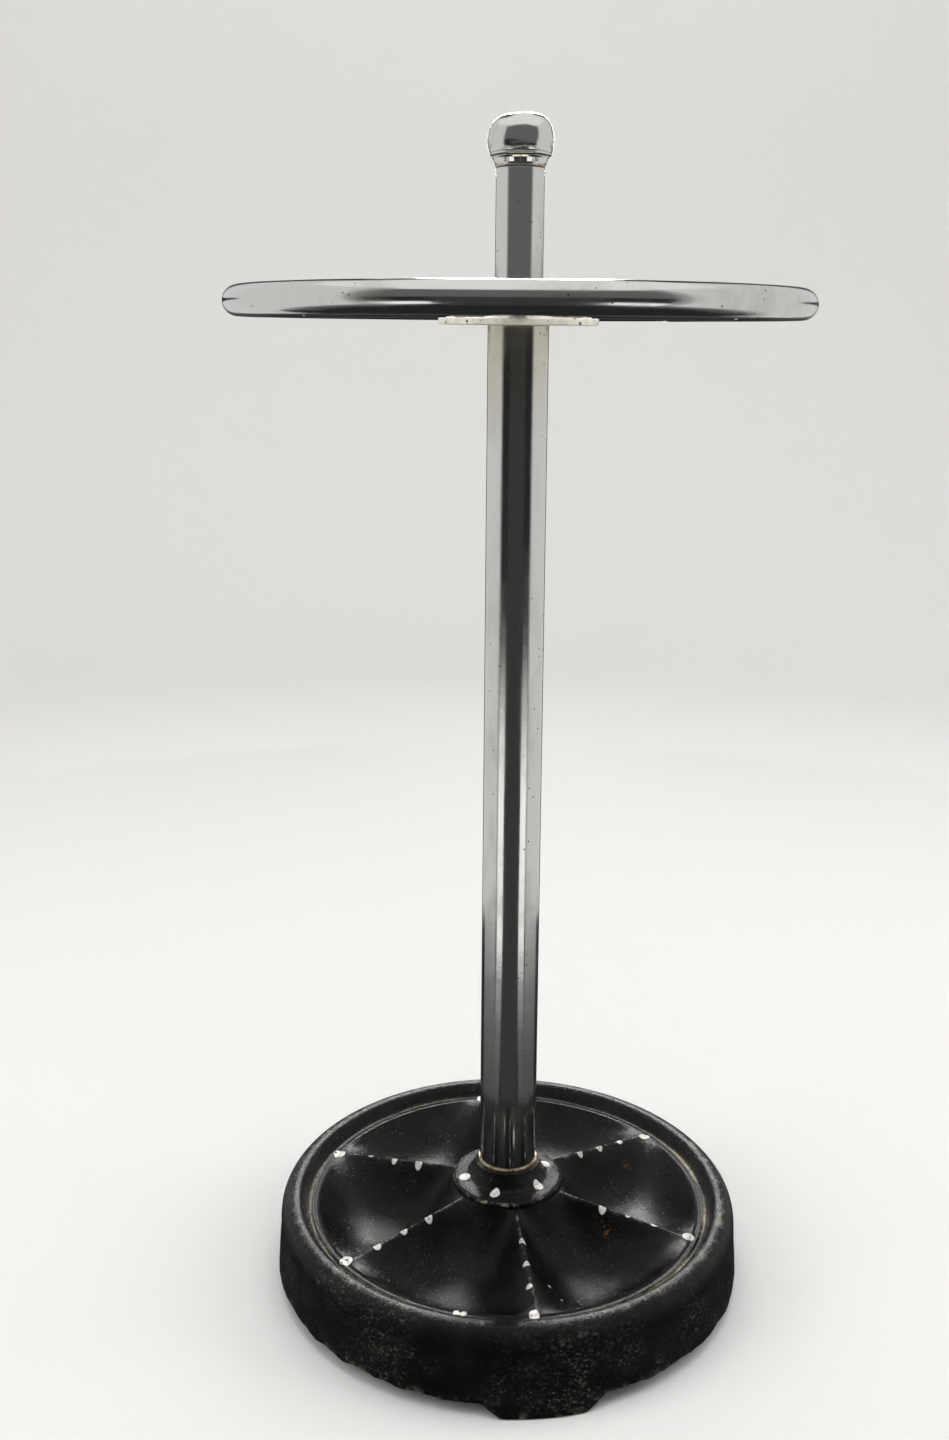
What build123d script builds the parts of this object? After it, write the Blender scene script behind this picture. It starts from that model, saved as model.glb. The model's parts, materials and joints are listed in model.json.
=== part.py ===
from build123d import *
import math
import os

# Umbrella stand: a heavy cast base with six drip cups, a tube pole in two stages, a ring that
# umbrellas lean against, and a ball finial that screws on. Millimetres, +Z up. The origin is on
# the floor, on the pole's axis. One rib and one foot point along -Y.

# Base casting: outer wall, rolled rim and the thin ledge inside it
base_radius = 132.0
skirt_bottom = 7.0
wall_lean = 2.0
wall_thickness = 6.0
ledge_height = 39.8
ledge_inset = 19.7
ledge_thickness = 6.0
rim_rise = 6.7
rim_crest_inset = 10.5
roll_height = 9.5
roll_fullness = 2.6

# Base casting: cups and ribs
rib_count = 6
rib_width = 5.0
rib_rim_rise = 1.2
rib_rim_gap = 5.3
rib_hub_drop = 4.3
cup_rim_gap = 3.3
cup_hub_gap = 1.4
cup_floor_height = 20.0
cup_radial_reach = 18.0
cup_side_reach = 12.0
cup_corner = 8.0
cup_wall = 4.5
cup_levels = (0.0, 0.5, 0.8, 0.95, 1.0)

# Base casting: stepped hub and feet
hub_disc_height = 54.8
hub_disc_ledge = 10.2
hub_disc_edge = 1.6
hub_boss_step = 1.6
hub_boss_taper = 3.1
hub_neck_margin = 1.3
hub_height = 64.4
hub_underside = 24.0
foot_count = 3
foot_angle = 22.0
foot_overhang = 1.5
foot_depth = 9.5
foot_overlap = 5.0

# Tie rod and the fasteners under the hub
rod_radius = 5.0
rod_bore_clearance = 0.5
rod_tail = 4.5
nut_across_flats = 17.0
nut_clearance = 0.1
base_nut_thickness = 8.0
base_washer_radius = 16.0
base_washer_thickness = 3.0
spring_washer_radius = 9.0
spring_washer_thickness = 2.5
spring_washer_slot = 2.0

# Pole
seat_overhang = 1.0
seat_thickness = 1.4
seat_spigot_length = 11.0
lower_tube_radius = 16.0
lower_tube_wall = 1.5
lower_tube_length = 471.2
upper_tube_radius = 12.5
upper_tube_wall = 1.5
upper_tube_length = 71.7
spigot_clearance = 0.2
lower_spigot_length = 15.0

# Ring and what holds it
ring_radius = 144.3
ring_tube_radius = 8.1
ring_tube_wall = 1.2
ring_lift = 7.5
ring_joint_angle = 44.0
ring_joint_gap = 0.4
splice_length = 36.0
splice_clearance = 0.3
disc_radius = 42.0
disc_thickness = 3.5
ring_collar_wall = 4.4
ring_collar_height = 15.5
ring_socket_depth = 12.0
socket_clearance = 0.1
spoke_count = 3
spoke_radius = 4.0
spoke_turn = -9.0
weld_size = 1.6
disc_weld_length = 6.0

# Finial
collar_lip = 0.4
collar_flare = 2.1
collar_height = 5.8
collar_spigot_length = 8.0
top_nut_thickness = 5.0
ball_foot_overhang = 0.8
ball_swell = 1.7
ball_height = 21.5
ball_equator_height = 7.8
ball_flat_radius = 10.0
ball_flat_drop = 1.1
ball_wall = 1.2
ball_gap = 0.3
mouth_clearance = 1.2
insert_radius = 8.0
insert_gap = 0.3
insert_lift = 1.5
insert_floor = 1.5
thread_clearance = 0.05
thread_pitch = 1.5
thread_turns = 7

# Heights where one piece seats on the next, from the floor up
seat_height = hub_height
lower_tube_foot = seat_height + seat_thickness
disc_height = lower_tube_foot + lower_tube_length
disc_top = disc_height + disc_thickness
ring_height = disc_top + ring_lift
spoke_height = disc_top + spoke_radius
ring_collar_top = disc_top + ring_collar_height
upper_tube_foot = ring_collar_top - ring_socket_depth
finial_collar_foot = upper_tube_foot + upper_tube_length
finial_collar_top = finial_collar_foot + collar_height
top_nut_top = finial_collar_top + top_nut_thickness
ball_foot = finial_collar_top + ball_gap
insert_foot = top_nut_top + insert_lift
insert_top = ball_foot + ball_height - ball_wall - ball_flat_drop - insert_gap
rod_top = insert_foot + thread_turns * thread_pitch
spring_washer_top = hub_underside - base_washer_thickness
base_nut_top = spring_washer_top - spring_washer_thickness
base_nut_foot = base_nut_top - base_nut_thickness
rod_foot = base_nut_foot - rod_tail

# Heights on the base casting
rim_height = ledge_height + rim_rise
shoulder_height = rim_height - roll_height
rib_rim_height = ledge_height + rib_rim_rise
rib_hub_height = hub_disc_height - rib_hub_drop

# Radii that follow the base's outer wall
rim_crest_radius = base_radius - rim_crest_inset
ledge_radius = base_radius - ledge_inset

# Radii that follow the two pole tubes and the tie rod
rod_bore = rod_radius + rod_bore_clearance
lower_tube_bore = lower_tube_radius - lower_tube_wall
upper_tube_bore = upper_tube_radius - upper_tube_wall
seat_radius = lower_tube_radius + seat_overhang
hub_neck_radius = seat_radius + hub_neck_margin
hub_boss_radius = hub_neck_radius + hub_boss_taper
hub_disc_radius = hub_boss_radius + hub_disc_ledge
ring_collar_radius = upper_tube_radius + socket_clearance + ring_collar_wall
collar_foot_radius = upper_tube_radius + collar_lip
collar_top_radius = collar_foot_radius + collar_flare
ball_foot_radius = collar_top_radius + ball_foot_overhang
ball_radius = ball_foot_radius + ball_swell
nut_corner_radius = nut_across_flats / 2 / math.cos(math.radians(30))


def turned(outline):
    """Solid turned about the pole's axis from an outline drawn in (radius, height)."""
    return revolve(Plane.XZ * make_face(outline), Axis.Z)


def tube(outer_radius, inner_radius, bottom, top):
    """Upright tube on the pole's axis."""
    return extrude(Pos(0, 0, bottom) * (Circle(outer_radius) - Circle(inner_radius)), top - bottom)


def rod(radius, bottom, top):
    """Upright solid cylinder on the pole's axis."""
    return extrude(Pos(0, 0, bottom) * Circle(radius), top - bottom)


def along_spoke(radius, start, end, sideways=0.0):
    """Cylinder along +X at the spokes' height, from one distance off the pole's axis to another."""
    return Pos(start, sideways, spoke_height) * (Rot(0, 90, 0) * rod(radius, 0, end - start))


def around(count, shape):
    """Copies of a shape spaced evenly about the pole's axis, the first along -Y."""
    return [Rot(0, 0, -90 + step * 360 / count) * shape for step in range(count)]


def rim_and_skirt():
    """Outer wall, rolled rim and the ledge that the cups' edges run into."""
    wall_inside = base_radius - wall_thickness
    shoulder = (base_radius - wall_lean, shoulder_height)
    crest = (rim_crest_radius, rim_height)
    roll_middle = (
        (shoulder[0] + crest[0]) / 2 + roll_fullness,
        (shoulder[1] + crest[1]) / 2 + roll_fullness,
    )
    ledge_underside = ledge_height - ledge_thickness
    ledge_inside = ledge_radius - cup_rim_gap
    upper = Line((base_radius, skirt_bottom), shoulder) + ThreePointArc(shoulder, roll_middle, crest)
    lower = Polyline(
        crest,
        (ledge_radius, ledge_height),
        (ledge_inside, ledge_height),
        (ledge_inside, ledge_underside),
        (rim_crest_radius, ledge_underside),
        (wall_inside, shoulder_height - wall_thickness),
        (wall_inside, skirt_bottom),
        (base_radius, skirt_bottom),
    )
    return turned(upper + lower)


def hub():
    """Stepped hub: a broad disc, a shallow step and a boss that narrows to the tube's seat."""
    boss_foot = hub_disc_height + hub_boss_step
    outline = Polyline(
        (rod_bore, hub_underside),
        (hub_disc_radius, hub_underside),
        (hub_disc_radius, hub_disc_height - hub_disc_edge),
        (hub_disc_radius - hub_disc_edge, hub_disc_height),
        (hub_boss_radius, hub_disc_height),
        (hub_boss_radius, boss_foot),
        (hub_neck_radius, hub_height - hub_disc_edge),
        (hub_neck_radius - hub_disc_edge / 2, hub_height),
        (rod_bore, hub_height),
        (rod_bore, hub_underside),
    )
    return turned(outline)


def cup_section(height, inner, outer, rib_gap, corner):
    """One cup's rounded outline at one height, centred on +X between two ribs."""
    half_angle = math.radians(180 / rib_count)
    apex = rib_gap / math.sin(half_angle)
    far = apex + 2 * base_radius
    spread = (far - apex) * math.tan(half_angle)
    wedge = make_face(Polyline((apex, 0), (far, -spread), (far, spread), (apex, 0)))
    band = Circle(outer) - Circle(inner)
    outline = fillet((wedge & band).vertices(), corner)
    return Pos(0, 0, height) * outline


def cup(growth, top):
    """One cup's hollow, or with growth the hollow plus the metal round it, centred on +X."""
    inner = hub_disc_radius + cup_hub_gap - growth
    outer = ledge_radius - cup_rim_gap + growth
    floor = cup_floor_height - growth
    sections = []
    for level in cup_levels:
        scoop = 1 - math.sqrt(1 - level**2)
        sections.append(
            cup_section(
                ledge_height + level * (floor - ledge_height),
                inner + scoop * cup_radial_reach,
                outer - scoop * cup_radial_reach,
                rib_width / 2 - growth + scoop * cup_side_reach,
                cup_corner + growth,
            )
        )
    mouth = extrude(sections[0], top - ledge_height)
    return loft(sections) + mouth


def rib():
    """Straight web under one rib's crest, along +X, before its top is sloped."""
    foot = ledge_height - ledge_thickness
    block = Box(
        ledge_radius - hub_boss_radius,
        rib_width,
        rib_hub_height - foot,
        align=(Align.MIN, Align.CENTER, Align.MIN),
    )
    return Pos(hub_boss_radius, 0, foot) * block


def base_casting():
    """The whole casting: rim, ribs, cups with their thin walls, hub and feet, in one piece."""
    rib_end = ledge_radius - rib_rim_gap
    under_ribs = turned(
        Polyline(
            (0, skirt_bottom),
            (ledge_radius, skirt_bottom),
            (ledge_radius, ledge_height),
            (rib_end, rib_rim_height),
            (hub_disc_radius, rib_hub_height),
            (0, rib_hub_height),
            (0, skirt_bottom),
        )
    )
    first_cup = Rot(0, 0, 180 / rib_count)
    cup_walls = Part() + around(rib_count, first_cup * cup(cup_wall, rib_hub_height))
    cup_hollows = Part() + around(rib_count, first_cup * cup(0, hub_height))
    dish = under_ribs & (cup_walls + around(rib_count, rib()))
    solid_base = rim_and_skirt() + dish + hub() + feet()
    return solid_base - cup_hollows - rod(rod_bore, 0, hub_height)


def feet():
    """Low cast feet under the outer wall."""
    outline = Polyline(
        (base_radius + foot_overhang - foot_depth, 0),
        (base_radius + foot_overhang, 0),
        (base_radius, skirt_bottom + foot_overlap / 2),
        (base_radius - wall_thickness / 2, skirt_bottom + foot_overlap),
        (base_radius + foot_overhang - foot_depth, skirt_bottom),
        (base_radius + foot_overhang - foot_depth, 0),
    )
    foot = Rot(0, 0, -foot_angle / 2) * revolve(Plane.XZ * make_face(outline), Axis.Z, foot_angle)
    return Part() + around(foot_count, foot)


def tube_seat():
    """Ring between hub and lower tube, with a spigot up inside the tube."""
    spigot_radius = lower_tube_bore - spigot_clearance
    flange = tube(seat_radius, rod_bore, seat_height, lower_tube_foot)
    return flange + tube(spigot_radius, rod_bore, lower_tube_foot, lower_tube_foot + seat_spigot_length)


def lower_spigot():
    """Bush under the ring's disc that centres the lower tube."""
    spigot_radius = lower_tube_bore - spigot_clearance
    return tube(spigot_radius, rod_bore, disc_height - lower_spigot_length, disc_height)


def ring_collar():
    """Collar on the disc that the spokes meet and the upper tube stands in."""
    body = tube(ring_collar_radius, rod_bore, disc_top, ring_collar_top)
    return body - rod(upper_tube_radius + socket_clearance, upper_tube_foot, ring_collar_top)


def ring_arc(section, start, sweep):
    """A round section carried round the ring's circle."""
    placed = Pos(ring_radius, 0, ring_height) * (Rot(90, 0, 0) * section)
    return Rot(0, 0, start) * revolve(placed, Axis.Z, sweep)


def ring_tube():
    """The ring, bent from tube, with its two ends butted."""
    gap_angle = math.degrees(ring_joint_gap / ring_radius)
    section = Circle(ring_tube_radius) - Circle(ring_tube_radius - ring_tube_wall)
    return ring_arc(section, ring_joint_angle + gap_angle / 2, 360 - gap_angle)


def ring_splice_pin():
    """Curved pin inside the ring tube, across the butt joint."""
    sweep = math.degrees(splice_length / ring_radius)
    section = Circle(ring_tube_radius - ring_tube_wall - splice_clearance)
    return ring_arc(section, ring_joint_angle - sweep / 2, sweep)


def ring_envelope():
    """The ring as if it were solid bar, to cut what is welded to it."""
    return ring_arc(Circle(ring_tube_radius), 0, 360)


def collar_envelope():
    """The collar as if it had no bore, to cut what is welded to it."""
    return rod(ring_collar_radius, disc_top, ring_collar_top)


def spoke_places():
    """Turns that carry a piece drawn along +X to each spoke."""
    return [Rot(0, 0, -90 + spoke_turn + step * 360 / spoke_count) for step in range(spoke_count)]


def ring_spoke():
    """Round bar lying on the disc from the collar to the ring, its ends shaped to both."""
    bar = along_spoke(spoke_radius, ring_collar_radius - spoke_radius, ring_radius)
    return bar - ring_envelope() - collar_envelope()


def foot_bead():
    """Weld bead round the collar's foot, from one spoke's side to the next one's."""
    outline = Polyline(
        (ring_collar_radius, disc_top),
        (ring_collar_radius + weld_size, disc_top),
        (ring_collar_radius, disc_top + weld_size),
        (ring_collar_radius, disc_top),
    )
    clear = math.degrees(math.asin((spoke_radius + weld_size) / ring_collar_radius))
    bead = revolve(Plane.XZ * make_face(outline), Axis.Z, 360 / spoke_count - 2 * clear)
    return Rot(0, 0, clear) * bead


def ring_welds():
    """Weld beads at the collar's foot, round both ends of each spoke and beside it on the disc."""
    ring_inside = ring_radius - ring_tube_radius
    bead_radius = spoke_radius + weld_size
    disc = rod(disc_radius + weld_size, disc_height, disc_top)
    bar = along_spoke(spoke_radius, 0, ring_radius)
    inner = along_spoke(bead_radius, ring_collar_radius - weld_size, ring_collar_radius + weld_size)
    outer = along_spoke(bead_radius, ring_inside - weld_size / 2, ring_inside + 3 * weld_size)
    under_bar = Pos(ring_collar_radius, 0, disc_top) * Box(disc_radius, spoke_radius, spoke_radius)
    beads = [
        foot_bead(),
        inner - bar - collar_envelope() - disc - under_bar,
        outer - bar - ring_envelope(),
    ]
    strip_offset = spoke_radius - weld_size / 2
    for side in (-strip_offset, strip_offset):
        strip = along_spoke(weld_size, disc_radius - disc_weld_length, disc_radius, side)
        beads.append(Pos(0, 0, -spoke_radius) * strip - bar - disc)
    turned_beads = [place * bead for place in spoke_places() for bead in beads]
    return Compound(children=[bead.solid() for bead in turned_beads])


def hex_nut(bottom, thickness):
    """Hexagon nut on the tie rod."""
    hexagon = RegularPolygon(nut_across_flats / 2, 6, major_radius=False)
    return extrude(Pos(0, 0, bottom) * (hexagon - Circle(rod_radius + nut_clearance)), thickness)


def base_spring_washer():
    """Split washer between the flat washer and the nut."""
    washer = tube(spring_washer_radius, rod_bore, base_nut_top, spring_washer_top)
    slot = Box(
        spring_washer_radius,
        spring_washer_slot,
        2 * spring_washer_thickness,
        align=(Align.MIN, Align.CENTER, Align.CENTER),
    )
    return washer - Pos(0, 0, base_nut_top) * slot


def finial_collar():
    """Flared collar on top of the upper tube, with a spigot down inside it."""
    spigot_radius = upper_tube_bore - spigot_clearance
    outline = Polyline(
        (rod_bore, finial_collar_foot - collar_spigot_length),
        (spigot_radius, finial_collar_foot - collar_spigot_length),
        (spigot_radius, finial_collar_foot),
        (collar_foot_radius, finial_collar_foot),
        (collar_top_radius, finial_collar_top),
        (rod_bore, finial_collar_top),
        (rod_bore, finial_collar_foot - collar_spigot_length),
    )
    return turned(outline)


def ball_form(shrink):
    """The flattened ball as a solid, shrunk all round to give the hollow inside it."""
    foot = ball_foot + shrink
    equator = (ball_radius - shrink, ball_foot + ball_equator_height)
    flat_edge = (ball_flat_radius - shrink, ball_foot + ball_height - ball_flat_drop - shrink)
    top = (0, ball_foot + ball_height - shrink)
    base = Polyline(top, (0, foot), (ball_foot_radius - shrink, foot))
    flank = TangentArc(equator, (ball_foot_radius - shrink, foot), tangent=(0, -1))
    crown = Spline(equator, flat_edge, top, tangents=((0, 1), (-1, 0)))
    return turned(base + flank + crown)


def finial_ball():
    """Hollow ball with a round mouth underneath that clears the top nut."""
    mouth = rod(nut_corner_radius + mouth_clearance, ball_foot, ball_foot + 2 * ball_wall)
    return ball_form(0) - ball_form(ball_wall) - mouth


def finial_insert():
    """Threaded insert in the ball, bored from below for the tie rod."""
    bore = rod(rod_radius + thread_clearance, insert_foot, insert_top - insert_floor)
    return rod(insert_radius, insert_foot, insert_top) - bore


pieces = {
    "base_casting": base_casting(),
    "tube_seat": tube_seat(),
    "lower_tube": tube(lower_tube_radius, lower_tube_bore, lower_tube_foot, disc_height),
    "lower_spigot": lower_spigot(),
    "upper_tube": tube(upper_tube_radius, upper_tube_bore, upper_tube_foot, finial_collar_foot),
    "tie_rod": rod(rod_radius, rod_foot, rod_top),
    "base_washer": tube(base_washer_radius, rod_bore, spring_washer_top, hub_underside),
    "base_spring_washer": base_spring_washer(),
    "base_nut": hex_nut(base_nut_foot, base_nut_thickness),
    "ring_tube": ring_tube(),
    "ring_splice_pin": ring_splice_pin(),
    "ring_hub_disc": tube(disc_radius, rod_bore, disc_height, disc_top),
    "ring_hub_collar": ring_collar(),
    "ring_welds": ring_welds(),
    "finial_collar": finial_collar(),
    "top_clamp_nut": hex_nut(finial_collar_top, top_nut_thickness),
    "finial_insert": finial_insert(),
    "finial_ball": finial_ball(),
}
for number, place in enumerate(spoke_places(), start=1):
    pieces[f"ring_spoke_{number}"] = place * ring_spoke()

os.makedirs("parts", exist_ok=True)
for node, piece in pieces.items():
    export_step(piece, f"parts/{node}.step")
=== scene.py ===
import json
import math
import random

import bmesh
import bpy
import numpy as np
from mathutils import Matrix, Vector, noise


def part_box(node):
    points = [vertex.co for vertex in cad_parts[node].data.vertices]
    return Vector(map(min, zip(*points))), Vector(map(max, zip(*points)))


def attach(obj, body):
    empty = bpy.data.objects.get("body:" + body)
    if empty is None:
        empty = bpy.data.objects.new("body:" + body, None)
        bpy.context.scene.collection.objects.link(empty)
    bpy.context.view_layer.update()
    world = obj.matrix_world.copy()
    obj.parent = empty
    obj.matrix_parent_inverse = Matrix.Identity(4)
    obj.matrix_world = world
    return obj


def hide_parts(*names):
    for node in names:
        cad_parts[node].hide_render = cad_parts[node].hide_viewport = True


# Looks of an umbrella stand: cast enamelled base with six cups, chromed pole in two stages, leaning
# ring and ball finial. Outlines are drawn in millimetres and become metres when a mesh is made.

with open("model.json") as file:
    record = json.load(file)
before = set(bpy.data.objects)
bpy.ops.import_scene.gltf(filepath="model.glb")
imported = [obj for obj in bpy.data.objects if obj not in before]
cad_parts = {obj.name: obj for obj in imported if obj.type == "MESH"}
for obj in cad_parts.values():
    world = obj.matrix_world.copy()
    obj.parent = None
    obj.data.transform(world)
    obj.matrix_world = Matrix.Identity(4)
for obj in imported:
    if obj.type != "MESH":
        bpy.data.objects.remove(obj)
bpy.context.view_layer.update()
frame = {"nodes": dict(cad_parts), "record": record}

MM = 0.001


def low(node):
    """A CAD node's lowest corner in millimetres."""
    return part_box(node)[0] / MM


def high(node):
    """A CAD node's highest corner in millimetres."""
    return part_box(node)[1] / MM


# Sizes read from the frame
base_radius = high("base_casting").x
hub_top = high("base_casting").z
seat_radius = high("tube_seat").x
lower_tube_radius = high("lower_tube").x
lower_tube_foot = low("lower_tube").z
disc_radius = high("ring_hub_disc").x
disc_foot = low("ring_hub_disc").z
disc_top = high("ring_hub_disc").z
collar_radius = high("ring_hub_collar").x
collar_top = high("ring_hub_collar").z
upper_tube_radius = high("upper_tube").x
upper_tube_foot = low("upper_tube").z
upper_tube_top = high("upper_tube").z
ring_outside = high("ring_tube").x
ring_top = high("ring_tube").z
ring_foot = low("ring_tube").z
ring_height = (ring_top + ring_foot) / 2
ring_tube_radius = (ring_top - ring_foot) / 2
ring_radius = ring_outside - ring_tube_radius
finial_collar_top = high("finial_collar").z
finial_collar_radius = high("finial_collar").x
ball_foot = low("finial_ball").z
ball_top = high("finial_ball").z
ball_radius = high("finial_ball").x
rod_radius = high("tie_rod").x

# Sizes that the frame doesn't give, in millimetres
rod_bore = rod_radius + 0.5
tube_wall = 1.5
inset = 0.1
thread_pitch = 1.5
thread_depth = 0.8
thread_length = 24

# What repeats round the pole, and where it starts
RIBS = 6
FEET = 3
SPOKES = 3
FIRST_RIB = math.radians(-90)
FIRST_SPOKE_DEGREES = -99
RING_JOINT = math.radians(44)

# Base casting, in polar form about the pole's axis
hub_radius = 31.6
hub_drop = 13.9
rib_rim_height = 41.0
rib_rim_radius = 107.0
ledge_height = 39.8
ledge_radius = base_radius - 19.7
cup_floor = 20.5
cup_inner = 32.0
cup_outer = 108.5
crest_half_width = 1.5
skirt_height = 7.0
ragged_radius = 132
wall_thickness = 6.0
shell_thickness = 4.5
foot_half_angle = math.radians(9.5)
foot_slope = math.radians(4.5)
foot_height = 12.0
foot_overhang = 1.5
sole = 0.02
hub_underside = 24.0
SECTOR_STEPS = 36
CUP_STEPS = 62

# Camera: its place in metres, and its heading, tilt and roll in radians
CAMERA_PLACE = Vector((-0.12015, -0.77819, 0.5337))
CAMERA_HEADING = math.radians(7.2)
CAMERA_DOWN = 0.1824
CAMERA_ROLL = 0.0082


# ---------------------------------------------------------------- materials


class Paint:
    """A material's node tree, with short calls that add nodes and join them."""

    def __init__(self, name, **settings):
        self.material = bpy.data.materials.new(name)
        self.material.use_nodes = True
        self.tree = self.material.node_tree
        self.shader = self.tree.nodes["Principled BSDF"]
        for socket, value in settings.items():
            self.shader.inputs[socket.replace("_", " ")].default_value = value
        self.place = self.node("ShaderNodeTexCoord").outputs["Object"]

    def node(self, kind, inputs=None, **properties):
        """A new node; inputs are values, or other nodes' outputs to link."""
        made = self.tree.nodes.new(kind)
        for key, value in properties.items():
            setattr(made, key, value)
        for key, value in (inputs or {}).items():
            if isinstance(value, bpy.types.NodeSocket):
                self.tree.links.new(value, made.inputs[key])
            else:
                made.inputs[key].default_value = value
        return made

    def noise(self, scale, detail=4.0, roughness=0.55, stretch=(1, 1, 1)):
        """Noise over the object, stretched along its axes, from 0 to 1."""
        mapped = self.node("ShaderNodeMapping", {"Vector": self.place, "Scale": stretch})
        inputs = {"Vector": mapped.outputs[0], "Scale": scale, "Detail": detail}
        inputs["Roughness"] = roughness
        return self.node("ShaderNodeTexNoise", inputs).outputs["Fac"]

    def specks(self, scale, size, share):
        """Small round specks in a share of the cells, from 0 to 1."""
        cells = self.node("ShaderNodeTexVoronoi", {"Vector": self.place, "Scale": scale})
        dot = self.between(cells.outputs["Distance"], size, size * 0.55)
        pick = self.node("ShaderNodeSeparateColor", {"Color": cells.outputs["Color"]})
        chosen = self.between(pick.outputs[0], 1 - share, 1 - share + 0.02)
        return self.times(dot, chosen)

    def between(self, value, start, end):
        """A value mapped smoothly so that start gives 0 and end gives 1."""
        inputs = {"Value": value, "From Min": start, "From Max": end}
        made = self.node("ShaderNodeMapRange", inputs, interpolation_type="SMOOTHSTEP")
        return made.outputs["Result"]

    def scaled(self, value, start, end):
        """A 0 to 1 value mapped straight onto start to end."""
        inputs = {"Value": value, "To Min": start, "To Max": end}
        return self.node("ShaderNodeMapRange", inputs).outputs[0]

    def times(self, first, second):
        """Product of two values."""
        return self.node("ShaderNodeMath", {0: first, 1: second}, operation="MULTIPLY").outputs[0]

    def most(self, first, second):
        """The larger of two values."""
        return self.node("ShaderNodeMath", {0: first, 1: second}, operation="MAXIMUM").outputs[0]

    def mixed(self, amount, first, second):
        """Colour from first to second by amount."""
        factor_socket, first_socket, second_socket, colour_output = 0, 6, 7, 2
        inputs = {factor_socket: amount, first_socket: first, second_socket: second}
        return self.node("ShaderNodeMix", inputs, data_type="RGBA").outputs[colour_output]

    def attribute(self, name):
        """A value painted on the mesh's points."""
        return self.node("ShaderNodeAttribute", attribute_name=name).outputs["Fac"]

    def height(self):
        """Height above the floor in metres."""
        return self.node("ShaderNodeSeparateXYZ", {"Vector": self.place}).outputs["Z"]

    def use(self, **sources):
        """Links outputs to the shader's sockets."""
        for socket, output in sources.items():
            self.tree.links.new(output, self.shader.inputs[socket.replace("_", " ")])

    def bump(self, height, distance, strength=1.0, under=None):
        """Bump from a height between 0 and 1, of a real depth in metres."""
        inputs = {"Height": height, "Distance": distance, "Strength": strength}
        if under is not None:
            inputs["Normal"] = under
        return self.node("ShaderNodeBump", inputs).outputs["Normal"]


def cast_enamel():
    """Gloss black enamel on iron: smooth in the cups, rough and scuffed on the outer wall.

    The base's points carry wall (rough outside), wear_and_highlight (worn edges, and painted
    highlight lines on the rib crests, the rim's crest and the hub's edge) and deposit (dried
    scale).
    """
    paint = Paint("cast_enamel", Specular_IOR_Level=0.20)
    wall = paint.attribute("wall")
    wear_and_highlight = paint.attribute("wear_and_highlight")
    deposit = paint.attribute("deposit")
    black = (0.0018, 0.0018, 0.0021, 1)
    sooty = (0.0056, 0.0051, 0.0046, 1)
    scuff = (0.12, 0.11, 0.092, 1)
    rust = (0.075, 0.036, 0.016, 1)
    bare = (0.24, 0.225, 0.19, 1)
    scale_dirt = (0.50, 0.43, 0.30, 1)
    colour = paint.mixed(paint.between(paint.noise(55), 0.42, 0.68), black, sooty)
    fine_scuff = paint.between(paint.noise(420, 6, 0.7, (1, 1, 1.6)), 0.53, 0.68)
    broad_scuff = paint.between(paint.noise(30, 5, 0.65), 0.42, 0.66)
    colour = paint.mixed(paint.times(paint.times(fine_scuff, broad_scuff), wall), colour, scuff)
    pin_scuff = paint.times(paint.between(paint.noise(800, 3, 0.6), 0.60, 0.70), broad_scuff)
    colour = paint.mixed(paint.times(pin_scuff, paint.scaled(wall, 0.35, 0.8)), colour, scuff)
    rust_areas = paint.between(paint.noise(70, 5, 0.6), 0.65, 0.74)
    rusty = paint.times(rust_areas, paint.between(paint.noise(500), 0.5, 0.6))
    colour = paint.mixed(rusty, colour, rust)
    # Bare colour by wear_and_highlight: worn enamel, and along the rib crests, the rim's crest and
    # the hub's edge also a painted highlight line
    worn = paint.times(wear_and_highlight, paint.between(paint.noise(110, 6, 0.75), 0.48, 0.66))
    colour = paint.mixed(worn, colour, bare)
    patchy = paint.between(paint.noise(22, 3), 0.40, 0.62)
    crust_grain = paint.between(paint.noise(480, 4, 0.7), 0.36, 0.52)
    crust = paint.times(paint.times(deposit, patchy), crust_grain)
    colour = paint.mixed(crust, colour, scale_dirt)
    rough = paint.scaled(wall, 0.19, 0.40)
    rough = paint.most(rough, paint.scaled(paint.noise(300, 4), 0.10, 0.36))
    rough = paint.most(rough, paint.scaled(paint.most(worn, crust), 0.0, 0.75))
    pits = paint.noise(330, 5, 0.65)
    lumps = paint.noise(75, 4, 0.55)
    normal = paint.bump(pits, 0.00030, 0.7)
    normal = paint.bump(paint.noise(1100, 3, 0.65), 0.00035, 0.85, normal)
    normal = paint.bump(paint.times(lumps, paint.scaled(wall, 0.3, 1.0)), 0.0020, 0.7, normal)
    normal = paint.bump(paint.times(paint.noise(520, 4, 0.7), wall), 0.0010, 0.9, normal)
    paint.use(Base_Color=colour, Roughness=rough, Normal=normal)
    return paint.material


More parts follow.
